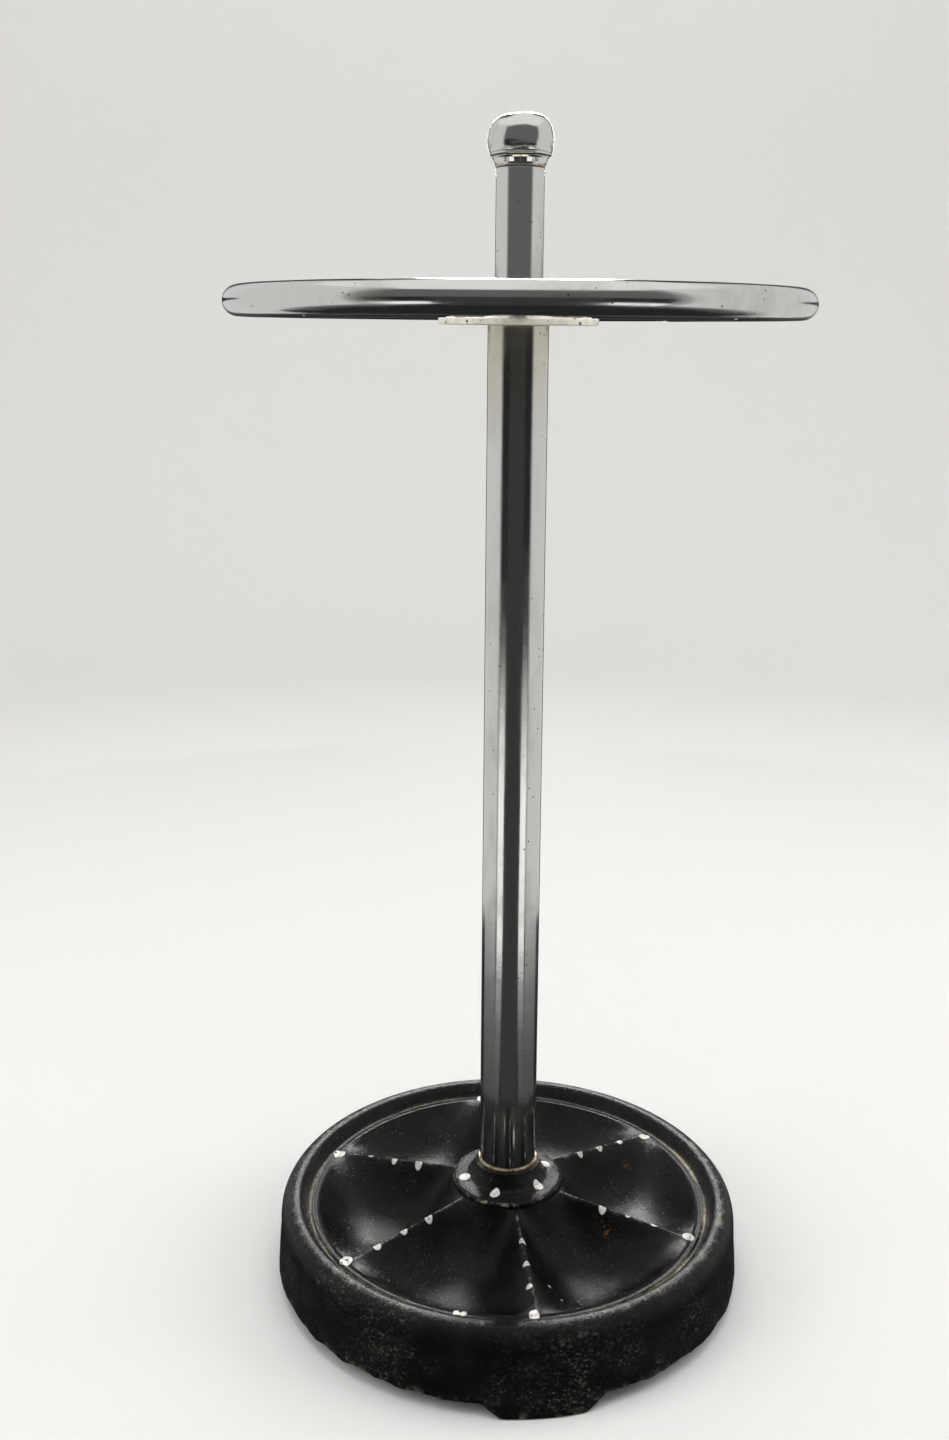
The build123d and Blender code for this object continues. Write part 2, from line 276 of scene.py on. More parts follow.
def aged_chrome(name, shine, haze=0.10, tint_from=None, tint_to=None):
    """Old bright chrome: soft reflections with haze, faint wipe marks, pits and rust specks.

    Shine is the roughness where it is clean and haze is what clouds add. It yellows from the first
    tint height up to the second.
    """
    paint = Paint(name, Metallic=1.0)
    clean = (0.77, 0.765, 0.745, 1)
    cloudy = (0.66, 0.645, 0.60, 1)
    yellow = (0.60, 0.55, 0.40, 1)
    brown = (0.10, 0.055, 0.025, 1)
    clouds = paint.between(paint.noise(34, 5, 0.6, (1, 1, 0.45)), 0.45, 0.72)
    colour = paint.mixed(clouds, clean, cloudy)
    if tint_from is not None:
        near = paint.between(paint.height(), tint_from * MM, tint_to * MM)
        yellowed = paint.times(near, paint.scaled(paint.noise(120), 0.3, 1.0))
        colour = paint.mixed(yellowed, colour, yellow)
    dots = paint.most(paint.specks(420, 0.26, 0.05), paint.specks(170, 0.13, 0.03))
    colour = paint.mixed(dots, colour, brown)
    wipes = paint.between(paint.noise(60, 6, 0.7, (1, 1, 0.12)), 0.52, 0.75)
    rough = paint.scaled(clouds, shine, shine + haze)
    rough = paint.most(rough, paint.scaled(wipes, 0.05, 0.20))
    rough = paint.most(rough, paint.scaled(dots, 0.0, 0.6))
    normal = paint.bump(paint.noise(30, 3, 0.5), 0.0006, 0.3)
    normal = paint.bump(paint.noise(520, 4, 0.6), 0.00004, 0.35, normal)
    paint.use(Base_Color=colour, Roughness=rough, Normal=normal)
    return paint.material


def dull_plate():
    """Creamy grey plating that has lost its shine, with dark specks and brush-like streaks."""
    paint = Paint("dull_plate", Metallic=0.30)
    pale = (0.84, 0.81, 0.70, 1)
    grey = (0.60, 0.58, 0.50, 1)
    dark = (0.05, 0.04, 0.03, 1)
    colour = paint.mixed(paint.between(paint.noise(90, 5, 0.6), 0.40, 0.66), pale, grey)
    dots = paint.most(paint.specks(260, 0.34, 0.20), paint.specks(700, 0.30, 0.10))
    colour = paint.mixed(dots, colour, dark)
    rough = paint.scaled(paint.noise(240, 4), 0.32, 0.62)
    normal = paint.bump(paint.noise(380, 5, 0.65), 0.00022, 0.6)
    paint.use(Base_Color=colour, Roughness=rough, Normal=normal)
    return paint.material


def tarnished_brass():
    """Dull brass with pale water scale in its lower corner."""
    paint = Paint("tarnished_brass", Metallic=0.85)
    brass = (0.46, 0.33, 0.15, 1)
    tarnish = (0.13, 0.085, 0.04, 1)
    scale_dirt = (0.62, 0.56, 0.43, 1)
    colour = paint.mixed(paint.between(paint.noise(210, 5, 0.65), 0.38, 0.62), brass, tarnish)
    crust = paint.between(paint.noise(300, 5, 0.7), 0.42, 0.54)
    colour = paint.mixed(crust, colour, scale_dirt)
    rough = paint.scaled(paint.noise(300, 4), 0.30, 0.65)
    normal = paint.bump(paint.noise(420, 5, 0.65), 0.00025, 0.7)
    paint.use(Base_Color=colour, Roughness=rough, Normal=normal)
    return paint.material


def plain_steel():
    """Oily steel fasteners with a little surface rust."""
    paint = Paint("plain_steel", Metallic=0.9)
    steel = (0.34, 0.33, 0.31, 1)
    rust = (0.15, 0.065, 0.03, 1)
    colour = paint.mixed(paint.between(paint.noise(160, 5, 0.65), 0.50, 0.66), steel, rust)
    rough = paint.scaled(paint.noise(280, 4), 0.28, 0.62)
    normal = paint.bump(paint.noise(500, 4, 0.6), 0.00015, 0.5)
    paint.use(Base_Color=colour, Roughness=rough, Normal=normal)
    return paint.material


def bare_iron():
    """Bright grey metal where the enamel has chipped off."""
    paint = Paint("bare_iron", Metallic=0.25)
    bright = (0.62, 0.61, 0.58, 1)
    shade = (0.40, 0.38, 0.34, 1)
    colour = paint.mixed(paint.between(paint.noise(600, 4, 0.6), 0.42, 0.62), bright, shade)
    normal = paint.bump(paint.noise(900, 4, 0.6), 0.0001, 0.6)
    rough = paint.scaled(paint.noise(500), 0.38, 0.60)
    paint.use(Base_Color=colour, Roughness=rough, Normal=normal)
    return paint.material


def backdrop_paint():
    """Plain pale studio floor."""
    paint = Paint("backdrop", Roughness=0.85, Specular_IOR_Level=0.1)
    paint.shader.inputs["Base Color"].default_value = (0.66, 0.655, 0.645, 1)
    return paint.material


def card_light(name, strength):
    """Even glow of a studio reflector that only shows in glossy surfaces."""
    material = bpy.data.materials.new(name)
    material.use_nodes = True
    tree = material.node_tree
    tree.nodes.clear()
    glow = tree.nodes.new("ShaderNodeEmission")
    glow.inputs["Strength"].default_value = strength
    output = tree.nodes.new("ShaderNodeOutputMaterial")
    tree.links.new(glow.outputs[0], output.inputs["Surface"])
    material.cycles.emission_sampling = "NONE"
    return material


# ---------------------------------------------------------------- mesh helpers


def new_object(name, points, faces, material, sharp_degrees=40):
    """A smooth-shaded mesh object from points in millimetres."""
    mesh = bpy.data.meshes.new(name)
    mesh.from_pydata([tuple(point) for point in np.asarray(points) * MM], [], faces)
    shape = bmesh.new()
    shape.from_mesh(mesh)
    bmesh.ops.recalc_face_normals(shape, faces=shape.faces)
    shape.to_mesh(mesh)
    shape.free()
    mesh.shade_smooth()
    mesh.set_sharp_from_angle(angle=math.radians(sharp_degrees))
    mesh.materials.append(material)
    made = bpy.data.objects.new(name, mesh)
    bpy.context.collection.objects.link(made)
    return made


def settle(piece, body, slot, *nodes):
    """Rides a piece on its body, hides the CAD nodes that it stands for and gives it weighted
    normals.
    """
    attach(piece, body)
    if nodes:
        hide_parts(*nodes)
    weighted = piece.modifiers.new("weighted", "WEIGHTED_NORMAL")
    weighted.keep_sharp = True
    return piece


def rounded(outline, radius, steps=5):
    """A closed outline with every corner rounded by the radius, or less on short sides."""
    result = []
    count = len(outline)
    for index, corner in enumerate(outline):
        here = Vector(corner)
        before = Vector(outline[index - 1]) - here
        after = Vector(outline[(index + 1) % count]) - here
        turn = before.angle(after)
        reach = min(radius / math.tan(turn / 2), 0.45 * before.length, 0.45 * after.length)
        start = here + before.normalized() * reach
        end = here + after.normalized() * reach
        for step in range(steps + 1):
            part = step / steps
            curve = start * (1 - part) ** 2 + here * 2 * part * (1 - part) + end * part**2
            result.append(tuple(curve))
    return result


def curve_through(knots, steps):
    """Points along a smooth curve through the knots, the first and last included."""
    line = [Vector(knot) for knot in knots]
    padded = [2 * line[0] - line[1], *line, 2 * line[-1] - line[-2]]
    result = []
    for index in range(len(line) - 1):
        a, b, c, d = padded[index : index + 4]
        for step in range(steps):
            t = step / steps
            cubic = (d - a + 3 * (b - c)) * t**3
            square = (2 * a - 5 * b + 4 * c - d) * t**2
            result.append(tuple((cubic + square + (c - a) * t + 2 * b) / 2))
    result.append(tuple(line[-1]))
    return result


def split_long(outline, longest=12.0):
    """A closed outline with its long sides divided, so that shading and bumps stay even."""
    result = []
    for start, end in zip(outline, outline[1:] + outline[:1]):
        parts = max(1, math.ceil(math.dist(start, end) / longest))
        for part in range(parts):
            share = part / parts
            radius = start[0] + (end[0] - start[0]) * share
            height = start[1] + (end[1] - start[1]) * share
            result.append((radius, height))
    return result


def turned(name, outline, material, segments=128, closed=True, wobble=None):
    """A shape turned about the pole's axis from (radius, height) points in millimetres.

    A wobble is a function that moves each (radius, height, angle) a little.
    """
    points = []
    rings = []
    for radius, height in outline:
        if radius < 1e-6:
            rings.append([len(points)])
            points.append((0.0, 0.0, height))
            continue
        rings.append(list(range(len(points), len(points) + segments)))
        for step in range(segments):
            angle = 2 * math.pi * step / segments
            out, up = wobble(radius, height, angle) if wobble else (radius, height)
            points.append((out * math.cos(angle), out * math.sin(angle), up))
    faces = []
    pairs = list(zip(rings, rings[1:]))
    if closed:
        pairs.append((rings[-1], rings[0]))
    for first, second in pairs:
        for step in range(segments):
            following = (step + 1) % segments
            loop = [first[step % len(first)], first[following % len(first)]]
            loop += [second[following % len(second)], second[step % len(second)]]
            faces.append(tuple(dict.fromkeys(loop)))
    return new_object(name, points, faces, material)


def pipe(outer, inner, bottom, top):
    """Closed outline of an upright tube."""
    return [(inner, bottom), (outer, bottom), (outer, top), (inner, top)]


def wrapped_grid(rings, per_ring):
    """Faces between rings of points, where the rings and the points in them both close up."""
    faces = []
    for ring in range(rings):
        following = (ring + 1) % rings
        for step in range(per_ring):
            beside = (step + 1) % per_ring
            corners = (ring, step), (following, step), (following, beside), (ring, beside)
            faces.append(tuple(r * per_ring + s for r, s in corners))
    return faces


def bumpy(x, y, z, scale):
    """Smooth noise between about -1 and 1 at a place in millimetres."""
    return noise.noise(Vector((x, y, z)) / scale)


# ---------------------------------------------------------------- base casting


def smooth(value):
    """Smooth step of values already meant for 0 to 1."""
    share = np.clip(value, 0, 1)
    return share * share * (3 - 2 * share)


def from_rib(angle):
    """Angle to the nearest rib, in radians."""
    sector = 2 * math.pi / RIBS
    turn = np.mod(angle - FIRST_RIB, sector)
    return np.minimum(turn, sector - turn)


HUB_BOSS = curve_through(
    [
        (17.0, hub_top), (18.2, hub_top - 0.8), (18.8, hub_top - 3.0), (20.2, hub_top - 6.0),
        (21.3, hub_top - 8.0), (22.4, hub_top - 9.1), (24.5, hub_top - 9.6),
    ],
    5,
)
HUB_DISC = curve_through(
    [
        (28.6, hub_top - 10.2), (30.3, hub_top - 10.6), (31.3, hub_top - 11.4),
        (hub_radius, hub_top - 12.6), (cup_inner - 0.1, hub_top - hub_drop),
    ],
    4,
)
HUB_LINE = HUB_BOSS + HUB_DISC
RIM_LINE = curve_through(
    [
        (cup_outer, ledge_height + 0.9),
        (ledge_radius - 2.2, ledge_height + 0.1),
        (ledge_radius - 0.9, ledge_height + 0.7),
        (ledge_radius, ledge_height + 0.9),
        (ledge_radius + 0.9, ledge_height + 0.1),
        (ledge_radius + 2.2, ledge_height + 0.2),
        (ledge_radius + 4.4, ledge_height + 3.4),
        (ledge_radius + 7.0, ledge_height + 5.9),
        (ledge_radius + 9.6, ledge_height + 6.7),
        (ledge_radius + 12.6, ledge_height + 6.2),
        (ledge_radius + 15.4, ledge_height + 3.9),
        (ledge_radius + 17.2, ledge_height + 0.6),
        (base_radius - 1.9, ledge_height - 3.4),
    ],
    4,
)


def cup_height(radius, angle):
    """Height of the ribs and cups between the hub and the ledge."""
    crest = np.interp(
        radius,
        [hub_radius, rib_rim_radius, ledge_radius],
        [hub_top - hub_drop, rib_rim_height, ledge_height],
    )
    across = radius * np.sin(from_rib(angle))
    softened = np.sqrt(across**2 + crest_half_width**2) - crest_half_width
    side = 1 - np.clip(1 - softened / (radius / 2 - crest_half_width), 0, 1) ** 2.5
    from_hub = 1 - np.clip(1 - (radius - cup_inner) / 42, 0, 1) ** 3
    from_rim = 1 - np.clip(1 - (cup_outer - radius) / 34, 0, 1) ** 2.2
    return crest + (cup_floor - crest) * side * from_hub * from_rim


def top_height(radius, angle):
    """Height of the base's upper surface anywhere from the hub to the rim."""
    hub_radii, hub_heights = zip(*HUB_LINE)
    rim_radii, rim_heights = zip(*RIM_LINE)
    if radius < cup_inner:
        return float(np.interp(radius, hub_radii, hub_heights))
    if radius > cup_outer:
        return float(np.interp(radius, rim_radii, rim_heights))
    return float(cup_height(radius, angle))


def sector_angles():
    """Angles round the base, closer together beside each rib."""
    share = np.arange(SECTOR_STEPS) / SECTOR_STEPS
    half = math.pi / RIBS
    one_side = half * share**1.5
    other_side = 2 * half - half * (1 - share) ** 1.5
    sector = np.concatenate([one_side, other_side])
    return np.concatenate([FIRST_RIB + rib * 2 * half + sector for rib in range(RIBS)])


def foot_share(angle):
    """1 on a foot, 0 between feet, with sloped sides."""
    spacing = 2 * math.pi / FEET
    turn = abs((angle - FIRST_RIB + spacing / 2) % spacing - spacing / 2)
    return float(np.clip((foot_half_angle + foot_slope - turn) / foot_slope, 0, 1))


def base_section(angle):
    """One closed radial section of the casting: (radius, height, wall, wear, deposit) rows.

    The skirt's edge and the wall's lumps read their noise on a circle of ragged_radius.
    """
    rows = []

    def add(radius, height, wall=0.0, wear_and_highlight=0.0, deposit=0.0):
        """Adds the section's next point."""
        rows.append((radius, height, wall, wear_and_highlight, deposit))

    beside = abs(float(from_rib(angle)))
    foot = foot_share(angle)
    around_x, around_y = ragged_radius * math.cos(angle), ragged_radius * math.sin(angle)

    # Hub, from the rod's bore outwards
    for radius in np.linspace(rod_bore, 16.0, 4):
        add(radius, hub_top, deposit=0.3)
    for radius, height in HUB_LINE:
        # The hub's edge at radius 30.6 to 31.5 gets bare colour as a painted highlight line
        edge = 0.9 if 30.6 < radius < 31.5 else 0.02
        add(radius, height, wear_and_highlight=edge, deposit=0.9 if radius < 18.4 else 0.0)

    # Ribs and cups
    shares = (1 - np.cos(np.linspace(0, math.pi, CUP_STEPS))) / 2
    for radius in cup_inner + (cup_outer - cup_inner) * shares:
        # Along each rib's crest: worn bare colour that also stands in for a painted highlight line
        on_crest = math.exp(-((radius * math.sin(beside) / 0.7) ** 2))
        add(radius, float(cup_height(radius, angle)), wear_and_highlight=0.6 * on_crest)

    # Ledge with its bead of dried scale, heaviest at the right and at the back left, and the rim
    crusted = 0.35 + 0.9 * max(0.0, math.cos(angle + 0.15)) ** 3
    crusted += 0.45 * max(0.0, math.cos(angle - math.radians(140))) ** 8
    for radius, height in RIM_LINE[1:]:
        bead = crusted * math.exp(-(((radius - ledge_radius - 1.1) / 0.9) ** 2))
        wall = float(smooth((radius - ledge_radius - 11) / 7))
        # The rim's crest gets worn bare colour that also serves as a painted highlight line
        crest_wear_and_highlight = 0.55 * math.exp(-(((radius - ledge_radius - 10.5) / 1.8) ** 2))
        add(radius, height, wall, crest_wear_and_highlight, bead)

    # Outer wall down to the skirt's ragged edge, or to the floor at a foot
    skirt = skirt_height - 0.6 + 1.9 * bumpy(around_x, around_y, 0, 13)
    skirt = skirt + 0.8 * bumpy(around_x, around_y, 50, 4)
    skirt = skirt * (1 - foot) + sole
    shoulder = RIM_LINE[-1][1]
    for share in np.linspace(0.06, 1, 16):
        height = shoulder + (skirt + 0.9 - shoulder) * share
        lump = 0.25 * bumpy(around_x, around_y, height, 9) - 0.25
        out = foot * foot_overhang * float(smooth((foot_height - height) / 5))
        radius = base_radius - 1.9 * (1 - share) + lump + out
        add(radius, height, 1.0, 0.6 * float(smooth((share - 0.9) / 0.1)))
    edge_radius = base_radius + foot * foot_overhang
    add(edge_radius - 1.0, skirt + 0.15, 1.0, 0.6)
    add(edge_radius - 2.0, skirt, 1.0, 0.3)

    # Inside of the wall, then the underside back to the bore
    inside = base_radius - wall_thickness - 2 * foot
    add(inside + 1.0, skirt, 1.0)
    add(inside, skirt + 1.0, 1.0)
    for height in np.linspace(12, ledge_height - 9.5, 5):
        add(base_radius - wall_thickness, height, 1.0)
    for radius in (base_radius - 8.5, base_radius - 12, ledge_radius + 3, ledge_radius):
        add(radius, ledge_height - 5.5, 1.0)
    for radius in cup_outer - (cup_outer - cup_inner - 1) * np.linspace(0, 1, 30):
        add(radius, float(cup_height(radius, angle)) - shell_thickness, 1.0)
    add(hub_radius + 0.4, hub_underside + 3, 1.0)
    add(hub_radius - 0.6, hub_underside, 1.0)
    for radius in (22, 14, rod_bore):
        add(radius, hub_underside, 1.0)
    for height in (34, 46, 58):
        add(rod_bore, height, 1.0)
    return rows


def base_body(material):
    """The whole casting as one closed skin, with its worn spots, painted highlight lines, rough
    wall and scale stored on its points.
    """
    angles = sector_angles()
    table = np.array([base_section(angle) for angle in angles])
    sections, rows = table.shape[:2]
    radius, height = table[:, :, 0], table[:, :, 1]
    cosine, sine = np.cos(angles)[:, None], np.sin(angles)[:, None]
    points = np.stack([radius * cosine, radius * sine, height], axis=2).reshape(-1, 3)
    made = new_object("base_body", points, wrapped_grid(sections, rows), material, 70)
    for column, name in enumerate(("wall", "wear_and_highlight", "deposit"), start=2):
        painted = made.data.attributes.new(name, "FLOAT", "POINT")
        painted.data.foreach_set("value", table[:, :, column].reshape(-1).astype(np.float32))
    return settle(made, "stand", "black_enamel", "base_casting")


def chip_places():
    """Chipped spots as (radius, angle, size): along the ribs, round the hub and on the ledge."""
    draw = random.Random(7)
    places = []
    # Three small chips along each rib, and a large one at its outer end
    for rib in range(RIBS):
        rib_angle = FIRST_RIB + rib * 2 * math.pi / RIBS
        for rib_radius in (56.5, 72, 88):
            size = draw.uniform(1.8, 2.5)
            radius = rib_radius + draw.uniform(-1.5, 2.5)
            angle = rib_angle + draw.uniform(-0.015, 0.015)
            places.append((radius, angle, size))
        radius = 108.5 + draw.uniform(-1, 1.5)
        angle = rib_angle + draw.uniform(-0.02, 0.02)
        places.append((radius, angle, draw.uniform(3.1, 3.9)))
    # Round the hub
    for step in range(5):
        hub_angle = math.radians(-180 + 66 * step)
        radius = 24.5 + draw.uniform(-1.5, 2.0)
        angle = hub_angle + draw.uniform(-0.1, 0.1)
        places.append((radius, angle, draw.uniform(2.7, 3.3)))
    # Lone chips in the front cups and on the ledge, as (radius, degrees, size)
    lone_chips = ((102.0, -75.5, 4.2), (73.0, -80, 1.0), (82.5, -77.5, 0.7), (109.5, -111, 4.0))
    for radius, degrees, size in lone_chips:
        places.append((radius, math.radians(degrees), size))
    return places


def paint_chips(material):
    """Thin closed flakes of bare metal that follow the casting's surface."""
    # Each ring of a flake: its height above the enamel and its share of the flake's size
    levels = ((0.08, 0.0), (0.08, 0.5), (0.07, 0.9), (0.0, 1.0), (-0.5, 1.0), (-0.5, 0.0))
    draw = random.Random(11)
    points = []
    faces = []
    for radius, angle, size in chip_places():
        centre = Vector((radius * math.cos(angle), radius * math.sin(angle)))
        start = len(points)
        stretch = draw.uniform(0.82, 1.0)
        lean = draw.uniform(0, math.pi)
        spokes = 28
        edge = []
        for turn in np.arange(spokes) * 2 * math.pi / spokes:
            uneven = bumpy(math.cos(turn) * 3, math.sin(turn) * 3, radius, 2.0)
            edge.append(size * (1 + 0.05 * uneven))
        for lift, share in levels:
            for spoke in range(spokes if share else 1):
                turn = 2 * math.pi * spoke / spokes
                reach = edge[spoke] * share
                flat = Vector((reach * math.cos(turn), reach * stretch * math.sin(turn)))
                flat.rotate(Matrix.Rotation(lean, 2))
                spot = centre + flat
                height = top_height(spot.length, math.atan2(spot.y, spot.x)) + lift
                points.append((spot.x, spot.y, height))
        ring_starts = [start + 1 + ring * spokes for ring in range(4)]
        bottom = start + 1 + 4 * spokes
        for spoke in range(spokes):
            following = (spoke + 1) % spokes
            faces.append((start, ring_starts[0] + spoke, ring_starts[0] + following))
            for inner, outer in zip(ring_starts, ring_starts[1:]):
                faces.append((inner + spoke, outer + spoke, outer + following, inner + following))
            faces.append((bottom, ring_starts[3] + following, ring_starts[3] + spoke))
    made = new_object("paint_chips", points, faces, material, 70)
    return settle(made, "stand", "plain_steel")


# ---------------------------------------------------------------- pole


def pole_pieces(brass):
    """Seat ring, both tubes and the flared collar on top."""
    lower_chrome = aged_chrome("lower_chrome", 0.12, 0.10, disc_foot - 70, disc_foot)
    upper_chrome = aged_chrome("upper_chrome", 0.12, 0.14)
    seat_top = high("tube_seat").z
    seat_spigot = 14.3
    flange = seat_radius - inset
    seat = [
        (rod_bore, hub_top), (flange, hub_top), (flange, lower_tube_foot - inset),
        (seat_spigot, lower_tube_foot), (seat_spigot, seat_top), (rod_bore, seat_top),
    ]
    settle(turned("seat_ring", rounded(seat, 0.5), brass), "stand", "tarnished_brass", "tube_seat")
    for name, chrome, radius, bottom, top in (
        ("lower_tube", lower_chrome, lower_tube_radius, lower_tube_foot, disc_foot),
        ("upper_tube", upper_chrome, upper_tube_radius, upper_tube_foot, upper_tube_top),
    ):
        outline = split_long(rounded(pipe(radius, radius - tube_wall, bottom, top), 0.4))
        settle(turned(name + "_skin", outline, chrome), "stand", "aged_chrome", name)
    foot_radius = upper_tube_radius + 0.4
    spigot = upper_tube_radius - tube_wall - 0.2
    collar_foot = low("finial_collar").z
    flare = [
        (rod_bore, collar_foot),
        (spigot, collar_foot),
        (spigot, upper_tube_top + inset),
        (foot_radius - 0.5, upper_tube_top + inset),
        (foot_radius, upper_tube_top + 0.9),
        (foot_radius + 0.3, upper_tube_top + 2.2),
        (foot_radius + 1.2, upper_tube_top + 4.4),
        (finial_collar_radius, finial_collar_top - 0.4),
        (finial_collar_radius - 0.6, finial_collar_top),
        (rod_bore, finial_collar_top),
    ]
    collar = turned("finial_flare", rounded(flare, 0.5), collar_chrome())
    settle(collar, "stand", "aged_chrome", "finial_collar")


def collar_chrome():
    """Chrome worn through to brass along the collar's lower rim."""
    paint = Paint("collar_chrome", Metallic=1.0)
    clean = (0.77, 0.765, 0.745, 1)
    brass = (0.52, 0.37, 0.20, 1)
    dirt = (0.05, 0.035, 0.02, 1)
    worn = paint.between(paint.height(), (upper_tube_top + 2.1) * MM, (upper_tube_top + 0.9) * MM)
    patchy = paint.between(paint.noise(150, 4, 0.6), 0.42, 0.60)
    colour = paint.mixed(paint.times(worn, patchy), clean, brass)
    joint = paint.between(paint.height(), (upper_tube_top + 0.6) * MM, (upper_tube_top + 0.2) * MM)
    colour = paint.mixed(joint, colour, dirt)
    rough = paint.scaled(worn, 0.06, 0.28)
    rough = paint.most(rough, paint.scaled(paint.noise(200), 0.04, 0.14))
    normal = paint.bump(paint.noise(120, 4, 0.6), 0.0002, 0.35)
    paint.use(Base_Color=colour, Roughness=rough, Normal=normal)
    return paint.material


def finial_ball():
    """Hollow flattened ball, thin and a little dented, with a rolled lip at its mouth."""
    height = ball_top - ball_foot
    outer = curve_through(
        [
            (0.0, ball_top), (5.0, ball_top - 0.25), (10.0, ball_top - 1.1),
            (13.9, ball_top - 3.6), (16.3, ball_top - 7.4),
            (ball_radius, ball_foot + 0.38 * height), (17.2, ball_foot + 4.6),
            (16.1, ball_foot + 1.9), (15.5, ball_foot + 1.2),
        ],
        6,
    )
    lip = curve_through(
        [
            (15.5, ball_foot + 1.2), (16.0, ball_foot + 0.7),
            (15.6, ball_foot), (14.2, ball_foot + 0.1),
        ],
        4,
    )
    mouth = [(11.2, ball_foot + 0.1), (11.2, ball_foot + 1.0)]
    inner = curve_through(
        [
            (14.0, ball_foot + 1.4), (16.2, ball_foot + 6.0), (15.4, ball_top - 6.6),
            (9.0, ball_top - 2.6), (0.0, ball_top - 1.3),
        ],
        4,
    )
    outline = outer + lip[1:] + mouth + inner
    # Knocks in the top as (x, y, width, depth)
    knocks = (
        (-10, -8, 6, 1.3), (9, -11, 5, 0.8), (0, -4, 4, 0.7),
        (-14, 4, 6, 0.9), (10, 9, 6, 0.9),
    )

    def dented(radius, level, angle):
        """Pulls the thin metal in where it has been knocked."""
        x, y = radius * math.cos(angle), radius * math.sin(angle)
        share = min(1.0, max(0.0, (level - ball_foot - 1.5) / 4))
        dent = 0.4 * (1 + bumpy(x, y, level, 7.5)) * share * min(1.0, radius / 4)
        drop = 0.0
        for knock_x, knock_y, width, depth in knocks:
            near = math.exp(-((x - knock_x) ** 2 + (y - knock_y) ** 2) / width**2)
            drop += depth * near * float(smooth((level - ball_foot - 11) / 6))
        return radius - dent, level - drop

    made = turned("ball_shell", outline, aged_chrome("ball_chrome", 0.15, 0.06), 144, False, dented)
    settle(made, "finial", "aged_chrome", "finial_ball")


# ---------------------------------------------------------------- ring and its hub


def ring_skin(material):
    """The ring's tube with its butt joint: a shallow notch and a slight step at the back."""
    notch_depth, notch_width = 0.8, 1.1
    offset, offset_reach = 0.22, 14
    ripple_depth, ripple_length = 0.05, 30
    rounds, sides = 320, 56
    # The tube is drawn thinner by this much, so that the offset and ripple stay within its size
    room = 0.25
    points = []
    for step in range(rounds):
        angle = 2 * math.pi * step / rounds
        away = ((angle - RING_JOINT + math.pi) % (2 * math.pi) - math.pi) * ring_radius
        notch = notch_depth * math.exp(-((away / notch_width) ** 2))
        wave = bumpy(math.cos(angle) * 144, math.sin(angle) * 144, 0, ripple_length)
        step_off = offset * (1 if away > 0 else -1) * math.exp(-abs(away) / offset_reach)
        for side in range(sides):
            turn = 2 * math.pi * side / sides
            section = ring_tube_radius - room - notch + ripple_depth * wave
            radius = ring_radius + section * math.cos(turn)
            height = ring_height + section * math.sin(turn) + step_off
            points.append((radius * math.cos(angle), radius * math.sin(angle), height))
    made = new_object("ring_skin", points, wrapped_grid(rounds, sides), material, 60)
    settle(made, "stand", "aged_chrome", "ring_tube")


def ring_hub(dull):
    """Disc with a hand-cut edge, and the turned collar on it."""

    def uneven(radius, height, angle):
        """A slightly ragged rim, as a hand-cut plate has."""
        if radius < disc_radius - 3:
            return radius, height
        x, y = disc_radius * math.cos(angle), disc_radius * math.sin(angle)
        ragged = 0.35 * (1 + bumpy(x, y, 0, 5)) * 0.5
        sag = 0.18 * bumpy(x, y, 9, 7)
        return radius - ragged, height + (sag if height < disc_foot + 1 else 0.0) * 0.6 + 0.05

    plate = split_long(rounded(pipe(disc_radius, rod_bore, disc_foot, disc_top - inset), 0.6), 6)
    made = turned("hub_plate", plate, dull, 256, True, uneven)
    settle(made, "stand", "dull_plate", "ring_hub_disc")
    socket = upper_tube_radius + inset
    cup = [
        (rod_bore, disc_top), (collar_radius, disc_top), (collar_radius, collar_top),
        (socket, collar_top), (socket, upper_tube_foot), (rod_bore, upper_tube_foot),
    ]
    made = turned("hub_collar", rounded(cup, 0.7), dull)
    settle(made, "stand", "dull_plate", "ring_hub_collar")


def blob(points, faces, centre, size, seed):
    """Adds one lumpy blob of weld metal to a growing mesh."""
    shape = bmesh.new()
    bmesh.ops.create_icosphere(shape, subdivisions=2, radius=1)
    start = len(points)
    for vertex in shape.verts:
        away = vertex.co.normalized()
        reach = size * (1 + 0.22 * noise.noise(away * 1.7 + Vector((seed, seed, 0))))
        points.append(tuple(Vector(centre) + Vector((away.x, away.y, away.z * 0.8)) * reach))
    shape.verts.index_update()
    faces.extend(tuple(start + vertex.index for vertex in face.verts) for face in shape.faces)
    shape.free()


